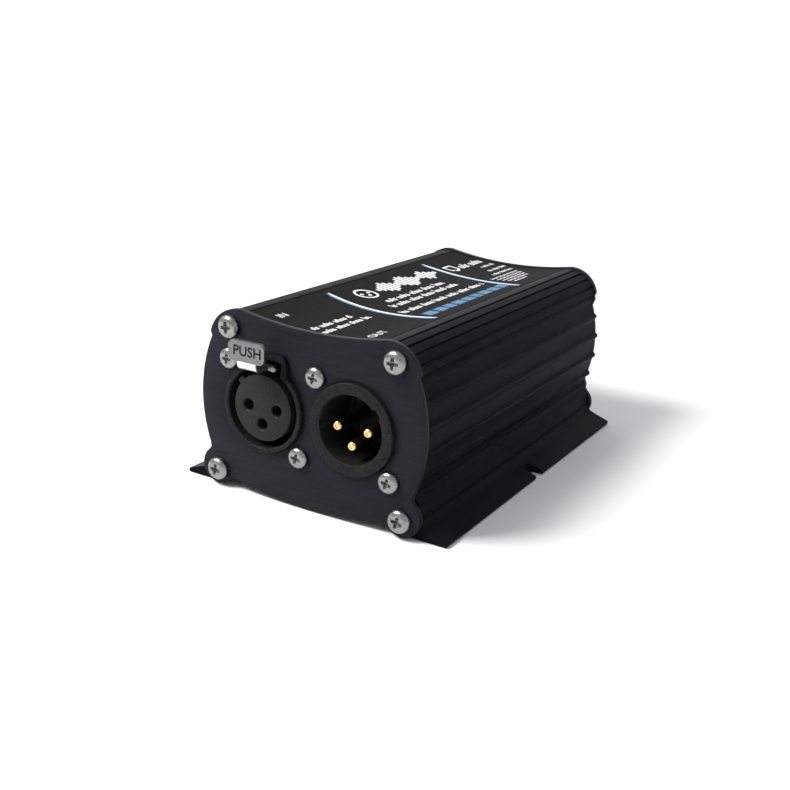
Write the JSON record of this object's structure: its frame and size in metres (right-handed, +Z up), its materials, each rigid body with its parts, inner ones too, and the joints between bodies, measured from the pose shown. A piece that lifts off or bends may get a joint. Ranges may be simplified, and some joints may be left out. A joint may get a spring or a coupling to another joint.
{
  "type": "direct injection box",
  "caption": "Compact audio interface box: fluted extruded case with mounting flanges, end plates, a female and a male three-pin connector in front and a network socket behind.",
  "frame": {"origin": "centre of the bounding box, on the plane of the flange undersides", "axes": "+X right seen from the front, +Y from the connector end to the network socket end, +Z up"},
  "size_m": [0.0736, 0.1159, 0.045],
  "materials": {
    "black_anodised": "bead-blasted black anodised aluminium, satin",
    "label_print": "printed polyester film, matte",
    "nickel": "bright nickel plate",
    "shell_plastic": "fine-grained black nylon",
    "insert_plastic": "smooth black nylon",
    "gold": "gold plate, polished",
    "spring_steel": "bright spring wire",
    "board_laminate": "green solder mask, semi-gloss",
    "chip_epoxy": "moulded epoxy, matte",
    "ferrite": "sintered ferrite, matte",
    "capacitor_sleeve": "shrink sleeve, glossy",
    "light_lens": "clear moulded lens"
  },
  "bodies": {
    "box": {"case_extrusion": "black_anodised", "front_plate": "black_anodised", "rear_plate": "black_anodised", "top_label": "label_print", "front_corner_screw_1": "nickel", "front_corner_screw_2": "nickel", "front_corner_screw_3": "nickel", "front_corner_screw_4": "nickel", "rear_corner_screw_1": "nickel", "rear_corner_screw_2": "nickel", "rear_corner_screw_3": "nickel", "rear_corner_screw_4": "nickel", "female_screw_1": "nickel", "female_screw_2": "nickel", "male_screw_1": "nickel", "male_screw_2": "nickel", "jack_shield": "nickel", "crystal": "nickel", "female_shell": "shell_plastic", "male_shell": "shell_plastic", "jack_housing": "shell_plastic", "female_insert": "insert_plastic", "male_insert": "insert_plastic", "female_contact_1": "gold", "female_contact_2": "gold", "female_contact_3": "gold", "male_pin_1": "gold", "male_pin_2": "gold", "male_pin_3": "gold", "jack_contacts": "gold", "latch_spring": "spring_steel", "main_board": "board_laminate", "network_processor": "chip_epoxy", "memory_chip": "chip_epoxy", "audio_transceiver": "chip_epoxy", "power_controller": "chip_epoxy", "light_lamp_left": "chip_epoxy", "light_lamp_right": "chip_epoxy", "isolation_transformer_1": "ferrite", "isolation_transformer_2": "ferrite", "network_transformer": "ferrite", "power_transformer": "ferrite", "power_inductor": "ferrite", "capacitor_1": "capacitor_sleeve", "capacitor_2": "capacitor_sleeve", "capacitor_3": "capacitor_sleeve", "light_lens_left": "light_lens", "light_lens_right": "light_lens"},
    "latch": {"release_latch": "nickel"}
  },
  "joints": [
    {"name": "latch_push", "type": "slide", "parent": "box", "child": "latch", "axis": [0, 0.9397, 0.342], "range_m": [0, 0.0018], "stiffness_N_per_m": 300, "springref_m": -0.003, "deforming": ["latch_spring"]}
  ]
}
